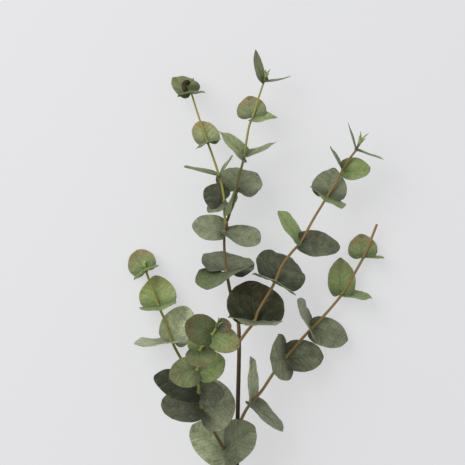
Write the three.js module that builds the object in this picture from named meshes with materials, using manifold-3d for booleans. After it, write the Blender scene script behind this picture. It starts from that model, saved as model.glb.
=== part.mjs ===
// A cut eucalyptus branch lying on a table: a woody main stem, six side shoots,
// round leaves in clasping pairs and soft growing tips. Millimetres, +Z up; the
// branch points along +Y, and its cut end and lowest leaves touch the table at Z = 0.

import * as THREE from 'three';
import { mergeVertices } from 'three/addons/utils/BufferGeometryUtils.js';
import Module from 'manifold-3d';

const wasm = await Module();
wasm.setup();

// Driving dimensions

const GAP = 0.35; // free space between pieces that meet
const BLADE_THICKNESS = 0.8;
const BLADE_SECTORS = 12; // corners round a leaf's outline
const BLADE_RINGS = 2; // rings from a leaf's middle to its edge
const MIDDLE = 0.4; // a leaf's middle, as a share of its length
const NOTCH_ANGLE = 0.38; // half opening of the notch between the lobes, radians
const COLLAR_WALL = 0.9; // the ring that joins the two leaves of a pair round the stem
const COLLAR_HEIGHT = 2.4;
const COLLAR_SIDES = 6;
const COLLAR_BORE = 0.8; // the ring's first bore, as a share of the stem's radius
const TIP_SPREAD = 0.3; // half width of a leaf's small point, radians
// A bud's outline from its foot to its point: shares of its radius and of its length.
const BUD_OUTLINE = [[0, 0], [0.6, 0], [1, 0.3], [0.5, 0.75], [0, 1]];
const BUD_LEAVES = 0.3; // where the youngest leaves stand on a bud, as a share of its length
const STEM_SIDES = 6;
const STEM_STEP = 14; // length of one straight stretch of stem

const BARK = { colour: 0x4a3826, roughness: 0.75 };
const TAN_BARK = { colour: 0xa0764f, roughness: 0.7 };
const OLIVE_STEM = { colour: 0x9a9550, roughness: 0.65 };
const GREY_LEAF = { colour: 0x5f6f5c, roughness: 0.6 };
const GREEN_LEAF = { colour: 0x6d8358, roughness: 0.55 };
const BUD_GREEN = { colour: 0xa9b04c, roughness: 0.6 };

// A leaf: the compass heading of its midrib on the table (0 = +X, 90 = +Y), how steeply
// it rises, its roll about the midrib (positive lifts the left edge), its length and
// width, then how strongly it cups, curls along its length and twists, its point, how much
// it tapers, and how far the lobes of its heart-shaped base reach back.

const PLAIN_LEAF = { cup: 0.15, curl: 0.04, twist: 0, point: 0.02, taper: 0.2, lobe: 0.18 };

function leaf(heading, rise, roll, length, width, shape = {}) {
  return { heading, rise, roll, length, width, ...PLAIN_LEAF, ...shape };
}

// Each stem is a route from its foot to its tip with a radius at both ends. A pair of
// leaves sits on the route point whose number is given.

const MAIN = {
  name: 'main',
  radii: [2.5, 1.0],
  finish: BARK,
  leaves: GREY_LEAF,
  route: [
    [1, 0, 3], [0, 58, 10], [0, 116, 18], [1, 170, 26], [2, 226, 31], [1, 246, 32],
    [-6, 272, 33], [-10, 294, 34], [-12, 314, 36], [-12, 332, 38], [-11, 341, 39],
  ],
  pairs: [
    [7, leaf(80, -64, 0, 35, 51, { lobe: 0.45, taper: 0.1 }),
      leaf(-110, 68, 24, 36, 57, { twist: 0.55 })],
    [9, leaf(169, -5, 35, 31, 30, { taper: 0.0 }),
      leaf(-17, 5, -58, 35, 26, { twist: 0.45, taper: -0.5, lobe: 0.25 })],
  ],
};

const UPPER_LEFT = {
  name: 'upper_left',
  radii: [1.3, 0.8],
  finish: OLIVE_STEM,
  leaves: GREEN_LEAF,
  route: [
    [-11, 340, 39], [-12, 349, 43], [-12, 361, 44], [-15, 378, 42], [-17, 385, 41], [-24, 406, 35],
    [-28, 417, 32], [-34, 434, 28], [-39, 449, 25], [-44, 465, 22], [-46, 469, 22],
  ],
  pairs: [
    [2, leaf(150, -10, 15, 22, 26), leaf(215, 5, 45, 19, 20)],
    [4, leaf(168, 5, 80, 34, 26), leaf(52, 35, -80, 27, 18)],
    [6, leaf(108, -30, 20, 25, 27, { lobe: 0.24 }), leaf(112, 88, 0, 22, 27)],
    [9, leaf(140, -12, 42, 24, 29, { taper: 0.45, lobe: 0.2 }), leaf(98, 85, 0, 20, 27)],
  ],
  bud: { length: 9, radius: 1.7, leaves: [leaf(150, 45, 0, 11, 10), leaf(50, 30, -75, 11, 8)] },
};

const TOP = {
  name: 'top',
  radii: [1.4, 0.8],
  finish: OLIVE_STEM,
  leaves: GREEN_LEAF,
  route: [
    [-9, 343, 38], [-4, 359, 38], [-1, 369, 37], [2, 384, 36], [7, 404, 35], [9, 418, 34],
    [12, 434, 33], [15, 441, 32], [20, 458, 30], [26, 476, 28], [27, 479, 28],
  ],
  pairs: [
    [2, leaf(72, -46, -8, 34, 45, { taper: 0.1, lobe: 0.24 }), leaf(-122, 42, -72, 31, 26)],
    [4, leaf(138, 10, 62, 31, 30, { point: 0.12, taper: 0.5, lobe: 0.28 }),
      leaf(12, 8, -72, 31, 24, { curl: 0.2, point: 0.1, taper: 0.4 })],
    [7, leaf(98, -30, 0, 24, 28, { taper: 0.4 }), leaf(-4, 20, -58, 22, 24, { point: 0.15, taper: 0.6 })],
    [9, leaf(126, 5, 60, 29, 22, { curl: 0.4 }), leaf(-3, 5, -80, 25, 16, { curl: 0.25 })],
  ],
  bud: { length: 9, radius: 1.5, leaves: [] },
};

const RIGHT = {
  name: 'right',
  radii: [1.5, 1.0],
  finish: TAN_BARK,
  leaves: GREY_LEAF,
  route: [
    [2, 226, 31], [9, 236, 38], [17, 247, 46], [20, 256, 47], [30, 273, 46], [36, 284, 45],
    [43, 300, 44], [52, 312, 43], [60, 321, 42], [73, 344, 40], [86, 365, 38], [94, 378, 37],
    [101, 391, 36], [108, 402, 36], [114, 410, 36], [116, 414, 36],
  ],
  pairs: [
    [2, leaf(97, -25, 20, 40, 57, { cup: 0.25, taper: 0.3, lobe: 0.26 }), leaf(-96, 84, 0, 40, 52)],
    [5, leaf(68, -48, 8, 38, 51, { cup: 0.25, lobe: 0.28 }), leaf(63, 85, 0, 36, 46)],
    [8, leaf(126, 0, 62, 36, 30, { taper: -0.4 }), leaf(-8, -8, -40, 38, 32)],
    [10, leaf(75, -25, 0, 30, 33, { taper: 0.5, point: 0.06 }),
      leaf(-114, 76, 0, 28, 38, { twist: -0.25 })],
    [12, leaf(122, 5, 78, 25, 20), leaf(0, 0, -28, 26, 25)],
    [14, leaf(110, 5, 80, 27, 14), leaf(-22, 5, -80, 28, 14)],
  ],
  bud: { length: 14, radius: 1.6, leaves: [] },
};

const LOWER_RIGHT = {
  name: 'lower_right',
  radii: [1.6, 1.2],
  finish: TAN_BARK,
  leaves: GREY_LEAF,
  route: [
    [1, 140, 22], [5, 153, 27], [9, 161, 29], [14, 168, 30], [23, 178, 29], [36, 197, 26],
    [47, 211, 23], [57, 222, 20], [72, 238, 17], [84, 250, 15], [102, 271, 12], [110, 284, 11],
    [123, 307, 10], [129, 321, 10], [136, 339, 11],
  ],
  pairs: [
    [3, leaf(93, 0, 72, 43, 34, { taper: 0.0 }), leaf(-45, 5, -72, 40, 38, { lobe: 0.25 })],
    [6, leaf(182, 60, 14, 34, 45, { twist: -0.3, lobe: 0.28 }),
      leaf(0, -15, -22, 37, 33, { taper: 0.1 })],
    [8, leaf(126, 45, 72, 38, 46), leaf(-18, -10, -25, 37, 31, { taper: 0.1 })],
    [10, leaf(92, -15, 0, 34, 27, { cup: 0.3, point: 0.06 }), leaf(-10, 10, -74, 29, 30)],
    [12, leaf(95, -25, 0, 24, 28, { taper: 0.4 }), leaf(-5, 10, -80, 20, 20)],
  ],
};

const LEFT = {
  name: 'left',
  radii: [1.6, 1.0],
  finish: OLIVE_STEM,
  leaves: GREEN_LEAF,
  route: [
    [0, 124, 20], [-12, 143, 23], [-26, 168, 23], [-39, 188, 21], [-54, 209, 19], [-63, 226, 17],
    [-70, 246, 15], [-76, 260, 14], [-83, 279, 13], [-88, 293, 12], [-89, 297, 12],
  ],
  pairs: [
    [5, leaf(66, -25, 0, 38, 34), leaf(190, 45, 82, 42, 48)],
    [7, leaf(95, -25, 0, 31, 35, { taper: 0.5 }), leaf(-80, 79, 0, 27, 36)],
    [9, leaf(120, -28, 0, 25, 28), leaf(120, 80, 0, 22, 28)],
  ],
  bud: { length: 9, radius: 1.6, leaves: [] },
};

const FRONT = {
  name: 'front',
  radii: [1.7, 1.0],
  finish: OLIVE_STEM,
  leaves: GREEN_LEAF,
  route: [
    [0, 98, 16], [-5, 110, 30], [-12, 124, 44], [-24, 148, 60], [-33, 168, 72], [-35, 184, 96],
    [-36, 207, 120], [-33, 226, 139], [-22, 241, 153], [-18, 248, 159],
  ],
  pairs: [
    [2, leaf(145, 0, 28, 38, 42, { lobe: 0.5 }), leaf(38, 0, -28, 36, 42, { lobe: 0.5 })],
    [4, leaf(178, -10, 30, 38, 37, { cup: 0.3, lobe: 0.3 }), leaf(10, 0, 0, 31, 50, { cup: 0.2 })],
    [5, leaf(162, -10, 35, 44, 32), leaf(-5, 15, -25, 24, 24)],
    [6, leaf(20, 0, 0, 26, 30), leaf(195, 0, 0, 26, 28)],
    [7, leaf(95, 0, 0, 19, 22), leaf(-85, 40, 0, 20, 27)],
    [8, leaf(155, 10, 0, 26, 27, { cup: 0.3, taper: -0.1 }), leaf(-25, 5, 0, 26, 24)],
  ],
  bud: { length: 9, radius: 1.7, leaves: [leaf(2, 10, 0, 12, 13), leaf(150, 70, 0, 8, 8)] },
};

const SHOOTS = [UPPER_LEFT, TOP, RIGHT, LOWER_RIGHT, LEFT, FRONT];

// Solids

function toSolid(geometry) {
  geometry.deleteAttribute('normal');
  geometry.deleteAttribute('uv');
  const merged = mergeVertices(geometry, 1e-4);
  return new wasm.Manifold(new wasm.Mesh({
    numProp: 3,
    vertProperties: merged.attributes.position.array,
    triVerts: Uint32Array.from(merged.index.array),
  }));
}

function largestPiece(solid) {
  const pieces = solid.decompose();
  pieces.sort((a, b) => b.volume() - a.volume());
  return pieces[0];
}

function toMesh(name, solid, { colour, roughness }) {
  const { vertProperties, triVerts } = solid.getMesh();
  const geometry = new THREE.BufferGeometry();
  geometry.setAttribute('position', new THREE.BufferAttribute(vertProperties, 3));
  geometry.setIndex(new THREE.BufferAttribute(triVerts, 1));
  geometry.computeVertexNormals();
  const material = new THREE.MeshStandardMaterial({ color: colour, roughness, metalness: 0 });
  const mesh = new THREE.Mesh(geometry, material);
  mesh.name = name;
  return mesh;
}

// Stems

function stemCurve({ route }) {
  const points = route.map(([x, y, z]) => new THREE.Vector3(x, y, z));
  return new THREE.CatmullRomCurve3(points, false, 'centripetal');
}

function radiusAt({ radii }, t) {
  return THREE.MathUtils.lerp(radii[0], radii[1], t);
}

function stemSolid(stem, extra = 0) {
  const curve = stemCurve(stem);
  const steps = Math.ceil(curve.getLength() / STEM_STEP);
  const foot = stem.radii[0];
  const section = new THREE.Shape();
  for (let side = 0; side < STEM_SIDES; side += 1) {
    const angle = (2 * Math.PI * side) / STEM_SIDES;
    const x = foot * Math.cos(angle);
    const y = foot * Math.sin(angle);
    if (side === 0) section.moveTo(x, y);
    else section.lineTo(x, y);
  }
  const geometry = new THREE.ExtrudeGeometry(section, { steps, extrudePath: curve, bevelEnabled: false });
  taper(geometry, curve, steps, (t) => (radiusAt(stem, t) + extra) / foot);
  return toSolid(geometry);
}

// Draws each ring of a tube in or out from the ring's centre on the curve.
function taper(geometry, curve, steps, scaleAt) {
  const centres = curve.getSpacedPoints(steps);
  const position = geometry.attributes.position;
  const corner = new THREE.Vector3();
  for (let i = 0; i < position.count; i += 1) {
    corner.fromBufferAttribute(position, i);
    let nearest = 0;
    for (let step = 1; step <= steps; step += 1) {
      if (corner.distanceTo(centres[step]) < corner.distanceTo(centres[nearest])) nearest = step;
    }
    const scale = scaleAt(curve.getUtoTmapping(nearest / steps));
    corner.sub(centres[nearest]).multiplyScalar(scale).add(centres[nearest]);
    position.setXYZ(i, corner.x, corner.y, corner.z);
  }
}

// Leaves

// A point on the outline: a round blade with a heart-shaped base and a slight tip.
function outlinePoint({ length, width, point, lobe }, angle) {
  const reach = Math.cos(angle) > 0 ? 1 - MIDDLE : MIDDLE + lobe;
  const notch = lobe * Math.exp(-(((Math.PI - Math.abs(angle)) / NOTCH_ANGLE) ** 2));
  const tip = point * Math.exp(-((angle / TIP_SPREAD) ** 2));
  return [length * (MIDDLE + reach * Math.cos(angle) + notch + tip), (width / 2) * Math.sin(angle)];
}

// How much narrower the blade is at a place along its midrib.
function narrowing({ length, taper }, along) {
  return 1 - taper * (along / length - MIDDLE);
}

// How far the blade bends out of its plane.
function bend({ length, width, cup, curl, twist }, along, across) {
  const a = across / (width / 2);
  const b = along / length;
  return (width / 2) * (cup * a * a + twist * a * b) + length * curl * b * b;
}

function bladeSolid(blade) {
  const corners = [];
  const faces = [];
  const surfaceSize = 1 + BLADE_RINGS * BLADE_SECTORS;
  for (const side of [1, -1]) {
    const lift = (side * BLADE_THICKNESS) / 2;
    const middle = MIDDLE * blade.length;
    corners.push(middle, 0, bend(blade, middle, 0) + lift);
    for (let ring = 1; ring <= BLADE_RINGS; ring += 1) {
      for (let sector = 0; sector < BLADE_SECTORS; sector += 1) {
        const angle = -Math.PI + (2 * Math.PI * sector) / BLADE_SECTORS;
        const [edgeAlong, edgeAcross] = outlinePoint(blade, angle);
        const share = ring / BLADE_RINGS;
        const along = middle + share * (edgeAlong - middle);
        const across = share * edgeAcross * narrowing(blade, along);
        corners.push(along, across, bend(blade, along, across) + lift);
      }
    }
  }
  const upper = (ring, sector) => 1 + (ring - 1) * BLADE_SECTORS + (sector % BLADE_SECTORS);
  const lower = (ring, sector) => surfaceSize + upper(ring, sector);
  for (let sector = 0; sector < BLADE_SECTORS; sector += 1) {
    faces.push(0, upper(1, sector), upper(1, sector + 1));
    faces.push(surfaceSize, lower(1, sector + 1), lower(1, sector));
    for (let ring = 1; ring < BLADE_RINGS; ring += 1) {
      const next = ring + 1;
      faces.push(upper(ring, sector), upper(next, sector), upper(next, sector + 1));
      faces.push(upper(ring, sector), upper(next, sector + 1), upper(ring, sector + 1));
      faces.push(lower(ring, sector), lower(next, sector + 1), lower(next, sector));
      faces.push(lower(ring, sector), lower(ring, sector + 1), lower(next, sector + 1));
    }
    const rim = BLADE_RINGS;
    faces.push(upper(rim, sector), lower(rim, sector), lower(rim, sector + 1));
    faces.push(upper(rim, sector), lower(rim, sector + 1), upper(rim, sector + 1));
  }
  const geometry = new THREE.BufferGeometry();
  geometry.setAttribute('position', new THREE.Float32BufferAttribute(corners, 3));
  geometry.setIndex(faces);
  return geometry;
}

// Turns a leaf's own axes (along, across, out) to its heading, rise and roll.
function leafTurn({ heading, rise, roll }) {
  const compass = new THREE.Matrix4().makeRotationZ(THREE.MathUtils.degToRad(heading));
  const climb = new THREE.Matrix4().makeRotationY(THREE.MathUtils.degToRad(-rise));
  const bank = new THREE.Matrix4().makeRotationX(THREE.MathUtils.degToRad(roll));
  return compass.multiply(climb).multiply(bank);
}

function placedBlade(blade, place) {
  const geometry = bladeSolid(blade);
  geometry.applyMatrix4(leafTurn(blade));
  geometry.translate(place.x, place.y, place.z);
  return toSolid(geometry);
}

// Stands a lathe shape, made along +Y, on a place with its axis along a direction.
function alongStem(geometry, place, direction) {
  const up = new THREE.Vector3(0, 1, 0);
  geometry.applyQuaternion(new THREE.Quaternion().setFromUnitVectors(up, direction));
  geometry.translate(place.x, place.y, place.z);
  return toSolid(geometry);
}

function collarSolid(place, direction, stemRadius) {
  const inner = stemRadius * COLLAR_BORE;
  const outer = stemRadius + GAP + COLLAR_WALL;
  const half = COLLAR_HEIGHT / 2;
  const profile = [[inner, -half], [outer, -half], [outer, half], [inner, half], [inner, -half]];
  const points = profile.map(([x, y]) => new THREE.Vector2(x, y));
  return alongStem(new THREE.LatheGeometry(points, COLLAR_SIDES), place, direction);
}

function pairSolid(stem, cutter, [at, ...blades]) {
  const curve = stemCurve(stem);
  const t = at / (stem.route.length - 1);
  const place = curve.getPoint(t);
  let solid = collarSolid(place, curve.getTangent(t), radiusAt(stem, t));
  for (const blade of blades) solid = solid.add(placedBlade(blade, place));
  return largestPiece(solid.subtract(cutter));
}

// A growing tip: a pointed bud on the end of the stem, with its youngest leaves.
function budSolid(stem, cutter) {
  const { length, radius, leaves } = stem.bud;
  const curve = stemCurve(stem);
  const direction = curve.getTangent(1);
  const place = curve.getPoint(1).addScaledVector(direction, GAP);
  const points = BUD_OUTLINE.map(([x, y]) => new THREE.Vector2(x * radius, y * length));
  let solid = alongStem(new THREE.LatheGeometry(points, COLLAR_SIDES), place, direction);
  const middle = place.clone().addScaledVector(direction, BUD_LEAVES * length);
  for (const blade of leaves) solid = solid.add(placedBlade(blade, middle));
  return largestPiece(solid.subtract(cutter));
}

// The branch

function addStem(group, stem, parentCutter) {
  let solid = stemSolid(stem);
  if (parentCutter) solid = largestPiece(solid.subtract(parentCutter));
  group.add(toMesh(`${stem.name}_stem`, solid, stem.finish));
}

function addLeaves(group, stem) {
  const cutter = stemSolid(stem, GAP);
  stem.pairs.forEach((pair, index) => {
    group.add(toMesh(`${stem.name}_leaves_${index + 1}`, pairSolid(stem, cutter, pair), stem.leaves));
  });
  if (stem.bud) group.add(toMesh(`${stem.name}_bud`, budSolid(stem, cutter), BUD_GREEN));
}

function makeBranch() {
  const group = new THREE.Group();
  addStem(group, MAIN);
  addLeaves(group, MAIN);
  const mainCutter = stemSolid(MAIN, GAP);
  for (const shoot of SHOOTS) {
    addStem(group, shoot, mainCutter);
    addLeaves(group, shoot);
  }
  const box = new THREE.Box3().setFromObject(group);
  const centre = box.getCenter(new THREE.Vector3());
  group.position.set(-centre.x, -centre.y, -box.min.z);
  return group;
}

export default makeBranch();
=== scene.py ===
"""A cut eucalyptus branch: woody stems, round waxy leaves in clasping pairs and soft growing tips."""

import math
import random

import bpy
from bpy.props import (
    BoolProperty,
    FloatProperty,
    FloatVectorProperty,
    IntProperty,
    PointerProperty,
)
from mathutils import Euler, Matrix, Vector


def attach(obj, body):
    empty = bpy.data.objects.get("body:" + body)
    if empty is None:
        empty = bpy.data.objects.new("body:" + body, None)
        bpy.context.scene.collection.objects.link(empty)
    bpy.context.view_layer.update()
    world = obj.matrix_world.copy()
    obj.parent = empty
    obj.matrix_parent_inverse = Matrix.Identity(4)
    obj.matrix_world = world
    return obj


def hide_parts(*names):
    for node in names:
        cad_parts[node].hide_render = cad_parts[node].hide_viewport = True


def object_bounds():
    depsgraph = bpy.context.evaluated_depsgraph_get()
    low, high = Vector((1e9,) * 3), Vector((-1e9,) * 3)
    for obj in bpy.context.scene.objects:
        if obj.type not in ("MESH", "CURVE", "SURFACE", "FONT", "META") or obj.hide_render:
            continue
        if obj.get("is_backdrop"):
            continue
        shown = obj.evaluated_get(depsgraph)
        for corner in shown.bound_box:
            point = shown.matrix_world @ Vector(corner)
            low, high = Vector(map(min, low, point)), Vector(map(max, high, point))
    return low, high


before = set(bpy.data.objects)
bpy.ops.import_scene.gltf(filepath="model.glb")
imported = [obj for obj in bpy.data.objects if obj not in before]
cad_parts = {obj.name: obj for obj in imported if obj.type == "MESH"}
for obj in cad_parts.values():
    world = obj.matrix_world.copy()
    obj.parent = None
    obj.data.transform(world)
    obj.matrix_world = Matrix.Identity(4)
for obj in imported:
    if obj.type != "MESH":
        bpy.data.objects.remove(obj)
CAD_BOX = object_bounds()

bl_info = {
    "name": "Eucalyptus Branch",
    "version": (1, 0, 0),
    "blender": (4, 5, 0),
    "location": "3D View > Sidebar > Branch",
    "description": "Grows a eucalyptus branch with clasping leaves on its packed frame",
    "category": "Object",
}

MM = 0.001  # the branch's tables are in millimetres, as on its CAD model
BODY = "root"

# How a leaf's outline runs: shares of its length, and angles in radians from its tip.
MIDDLE = 0.4
NOTCH_ANGLE = 0.38
TIP_SPREAD = 0.3

CREASE = 0.75  # how much of a leaf's cupping is a crease along its midrib
CREASE_SOFTNESS = 0.04  # how far the crease rounds off, as a share of half the leaf's width

GAP = 0.35  # free space between the end of a stem and its bud


# Tables of the branch

# A leaf: the compass heading of its midrib (0 = +X, 90 = +Y), how steeply it rises, its roll
# about the midrib, its length and width. Shade runs from 0, a dark leaf, through 0.5,
# grey-green, to 1, a fresh green one; low shades are partly old leaves and partly painted
# shade on leaves that face away from the light. Light is how pale a leaf is: partly its skin,
# partly painted light and shade for how it faces the light. Blush is its red-brown.
# The rest is its shape: how it cups, curls and twists, its point, how much it tapers, and how
# far the lobes of its heart-shaped base reach back, as a share of its length.


def leaf(heading, rise, roll, length, width, shade=0.5, light=1.0, blush=0.0, **shape):
    turn = Euler([math.radians(angle) for angle in (roll, -rise, heading)])
    look = {"shade": shade, "light": light, "blush": blush}
    plain = {"cup": 0.15, "curl": 0.04, "twist": 0.0, "point": 0.02, "taper": 0.2, "lobe": 0.18}
    return {"turn": turn, "length": length, "width": width, **look, **plain, **shape}


# Each stem is a route from its foot to its tip with a radius at both ends. A pair of leaves
# sits on the route point whose number is given. Ages are how woody the stem is, from its foot
# to its tip. A join is a point of the parent stem that the foot grows out of. A knot is how
# much more a stem's tip swells, where it forks, than it does at a pair of leaves.

MAIN = {
    "name": "main",
    "radii": (2.5, 1.0),
    "ages": (1.0, 1.0, 0.9, 0.4, 0.2, 0.45, 0.2),
    "bark": "bark",
    "leaves": "grey_leaf",
    "knot": 3.0,
    "route": [
        (1, 0, 3), (0, 58, 10), (0, 116, 18), (1, 170, 26), (2, 226, 31), (1, 246, 32),
        (-6, 272, 33), (-10, 294, 34), (-12, 314, 36), (-12, 332, 38), (-11, 341, 39),
    ],
    "pairs": [
        (7, leaf(80, -64, 0, 35, 51, 0.5, 1.0, lobe=0.45, taper=0.1),
         leaf(-110, 68, 24, 36, 57, 0.75, 0.58, twist=0.55)),
        (9, leaf(169, -5, 35, 31, 30, 0.5, 1.35, taper=0.0),
         leaf(-17, 5, -58, 35, 26, 0.5, 1.2, twist=0.45, taper=-0.5, lobe=0.25)),
    ],
}

UPPER_LEFT = {
    "name": "upper_left",
    "radii": (1.3, 0.8),
    "ages": (0.1, 0.15, 0.0),
    "bark": "olive_stem",
    "leaves": "green_leaf",
    "route": [
        (-11, 340, 39), (-12, 349, 43), (-12, 361, 44), (-15, 378, 42), (-17, 385, 41),
        (-24, 406, 35), (-28, 417, 32), (-34, 434, 28), (-39, 449, 25), (-44, 465, 22),
        (-46, 469, 22),
    ],
    "pairs": [
        (2, leaf(150, -10, 15, 22, 26, 0.3, 0.6), leaf(215, 5, 45, 19, 20, 0.42, 1.1)),
        (4, leaf(168, 5, 80, 34, 26, 0.65, 1.1), leaf(52, 35, -80, 27, 18, 0.8, 1.1)),
        (6, leaf(108, -30, 20, 25, 27, 0.65, 1.75, 0.7, lobe=0.24),
         leaf(112, 88, 0, 22, 27, 0.8, 1.5, 0.1)),
        (9, leaf(140, -12, 42, 24, 29, 0.75, 1.05, 0.3, taper=0.45, lobe=0.2),
         leaf(98, 85, 0, 20, 27, 0.7, 1.1, 0.2)),
    ],
    "bud": (9, 1.7, [leaf(160, 60, 0, 13, 12, 0.4, 0.7, 1.0), leaf(50, 30, -75, 11, 8, 0.6, 0.8, 0.4)]),
}

TOP = {
    "name": "top",
    "radii": (1.4, 0.8),
    "ages": (1.0, 0.7, 0.15, 0.05, 0.0),
    "bark": "olive_stem",
    "leaves": "green_leaf",
    "join": (-11.5, 339, 38.5),
    "route": [
        (-9, 343, 38), (-4, 359, 38), (-1, 369, 37), (2, 384, 36), (7, 404, 35), (9, 418, 34),
        (12, 434, 33), (15, 441, 32), (20, 458, 30), (26, 476, 28), (27, 479, 28),
    ],
    "pairs": [
        (2, leaf(72, -46, -8, 34, 45, 0.5, 1.3, taper=0.1, lobe=0.24),
         leaf(-122, 42, -72, 31, 26, 0.75, 1.1)),
        (4, leaf(138, 10, 62, 31, 30, 0.65, 1.7, point=0.12, taper=0.5, lobe=0.28),
         leaf(12, 8, -72, 31, 24, 0.6, 1.2, curl=0.2, point=0.1, taper=0.4)),
        (7, leaf(98, -30, 0, 24, 28, 0.65, 1.25, 0.65, taper=0.4),
         leaf(-4, 20, -58, 22, 24, 0.75, 1.3, point=0.15, taper=0.6)),
        (9, leaf(126, 5, 60, 29, 22, 0.65, 1.1, 0.5, curl=0.4),
         leaf(-3, 5, -80, 25, 16, 0.75, curl=0.25)),
    ],
    "bud": (9, 1.5, []),
}

RIGHT = {
    "name": "right",
    "radii": (1.5, 1.0),
    "ages": (0.75, 0.6, 0.5, 0.7, 0.35, 0.5, 0.6),
    "bark": "tan_bark",
    "leaves": "grey_leaf",
    "route": [
        (2, 226, 31), (9, 236, 38), (17, 247, 46), (20, 256, 47), (30, 273, 46), (36, 284, 45),
        (43, 300, 44), (52, 312, 43), (60, 321, 42), (73, 344, 40), (86, 365, 38), (94, 378, 37),
        (101, 391, 36), (108, 402, 36), (114, 410, 36), (116, 414, 36),
    ],
    "pairs": [
        (2, leaf(97, -25, 20, 40, 57, 0.12, 1.25, 0.15, cup=0.25, taper=0.3, lobe=0.26),
         leaf(-96, 84, 0, 40, 52, 0.5, 1.35)),
        (5, leaf(68, -48, 8, 38, 51, 0.2, 1.25, cup=0.25, lobe=0.28), leaf(63, 85, 0, 36, 46, 0.6, 1.2)),
        (8, leaf(126, 0, 62, 36, 30, 0.88, 1.4, taper=-0.4), leaf(-8, -8, -40, 38, 32, 0.3)),
        (10, leaf(75, -25, 0, 30, 33, 0.5, 1.15, taper=0.5, point=0.06),
         leaf(-114, 76, 0, 28, 38, 0.8, 1.1, twist=-0.25)),
        (12, leaf(122, 5, 78, 25, 20, 0.7), leaf(0, 0, -28, 26, 25, 1.0, 1.1)),
        (14, leaf(110, 5, 80, 27, 14, 0.7), leaf(-22, 5, -80, 28, 14, 0.85, 1.1)),
    ],
    "bud": (14, 1.6, []),
}

LOWER_RIGHT = {
    "name": "lower_right",
    "radii": (1.6, 1.2),
    "ages": (0.75, 0.4, 0.3, 0.3),
    "bark": "tan_bark",
    "leaves": "grey_leaf",
    "route": [
        (1, 140, 22), (5, 153, 27), (9, 161, 29), (14, 168, 30), (23, 178, 29), (36, 197, 26),
        (47, 211, 23), (57, 222, 20), (72, 238, 17), (84, 250, 15), (102, 271, 12),
        (110, 284, 11), (123, 307, 10), (129, 321, 10), (136, 339, 11),
    ],
    "pairs": [
        (3, leaf(93, 0, 72, 43, 34, 0.48, 2.2, taper=0.0), leaf(-45, 5, -72, 40, 38, 0.45, 1.25, lobe=0.25)),
        (6, leaf(182, 60, 14, 34, 45, 0.45, 1.25, twist=-0.3, lobe=0.28),
         leaf(0, -15, -22, 37, 33, 0.38, 1.05, taper=0.1)),
        (8, leaf(126, 45, 72, 38, 46, 0.5, 1.4), leaf(-18, -10, -25, 37, 31, 0.48, 1.2, taper=0.1)),
        (10, leaf(92, -15, 0, 34, 27, 0.8, 1.15, 0.35, cup=0.3, point=0.06),
         leaf(-10, 10, -74, 29, 30, 0.8, 1.1)),
        (12, leaf(95, -25, 0, 24, 28, 0.75, 1.2, 0.7, taper=0.4), leaf(-5, 10, -80, 20, 20, 0.85, 1.1)),
    ],
}

LEFT = {
    "name": "left",
    "radii": (1.6, 1.0),
    "ages": (1.0, 0.9, 0.6, 0.15, 0.05, 0.1),
    "bark": "olive_stem",
    "leaves": "green_leaf",
    "route": [
        (0, 124, 20), (-12, 143, 23), (-26, 168, 23), (-39, 188, 21), (-54, 209, 19),
        (-63, 226, 17), (-70, 246, 15), (-76, 260, 14), (-83, 279, 13), (-88, 293, 12),
        (-89, 297, 12),
    ],
    "pairs": [
        (5, leaf(66, -25, 0, 38, 34, 0.5, 2.7), leaf(190, 45, 82, 42, 48, 0.45, 2.2)),
        (7, leaf(95, -25, 0, 31, 35, 0.82, 1.55, 0.4, taper=0.5), leaf(-80, 79, 0, 27, 36, 0.85, 1.1)),
        (9, leaf(120, -28, 0, 25, 28, 0.75, 1.1, 0.75), leaf(120, 80, 0, 22, 28, 0.85, 1.8)),
    ],
    "bud": (9, 1.6, []),
}

FRONT = {
    "name": "front",
    "radii": (1.7, 1.0),
    "ages": (1.0, 1.0, 0.7, 0.2, 0.1, 0.0, 0.0),
    "bark": "olive_stem",
    "leaves": "green_leaf",
    "route": [
        (0, 98, 16), (-5, 110, 30), (-12, 124, 44), (-24, 148, 60), (-33, 168, 72),
        (-35, 184, 96), (-36, 207, 120), (-33, 226, 139), (-22, 241, 153), (-18, 248, 159),
    ],
    "pairs": [
        (2, leaf(145, 0, 28, 38, 42, 0.5, 2.2, lobe=0.5),
         leaf(38, 0, -28, 36, 42, 0.5, 1.15, lobe=0.5)),
        (4, leaf(178, -10, 30, 38, 37, 0.36, 0.72, cup=0.3, lobe=0.3),
         leaf(10, 0, 0, 31, 50, 0.5, 1.3, 0.1, cup=0.2)),
        (5, leaf(162, -10, 35, 44, 32, 0.2, 0.48), leaf(-5, 15, -25, 24, 24, 0.4, 0.7)),
        (6, leaf(20, 0, 0, 26, 30, 0.85, 1.2, 0.1), leaf(195, 0, 0, 26, 28, 0.72, 0.85, 0.3)),
        (7, leaf(95, 0, 0, 19, 22, 0.85), leaf(-85, 40, 0, 20, 27, 0.75, 0.75, 0.5)),
        (8, leaf(155, 10, 0, 26, 27, 0.75, 0.6, 0.7, cup=0.3, taper=-0.1),
         leaf(-25, 5, 0, 26, 24, 0.85, 1.15, 0.6)),
    ],
    "bud": (9, 1.7, [leaf(-8, 10, 0, 12, 13, 0.4, 0.8, 0.9), leaf(150, 70, 0, 8, 8, 0.8)]),
}

STEMS = (MAIN, UPPER_LEFT, TOP, RIGHT, LOWER_RIGHT, LEFT, FRONT)


# Routes


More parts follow.
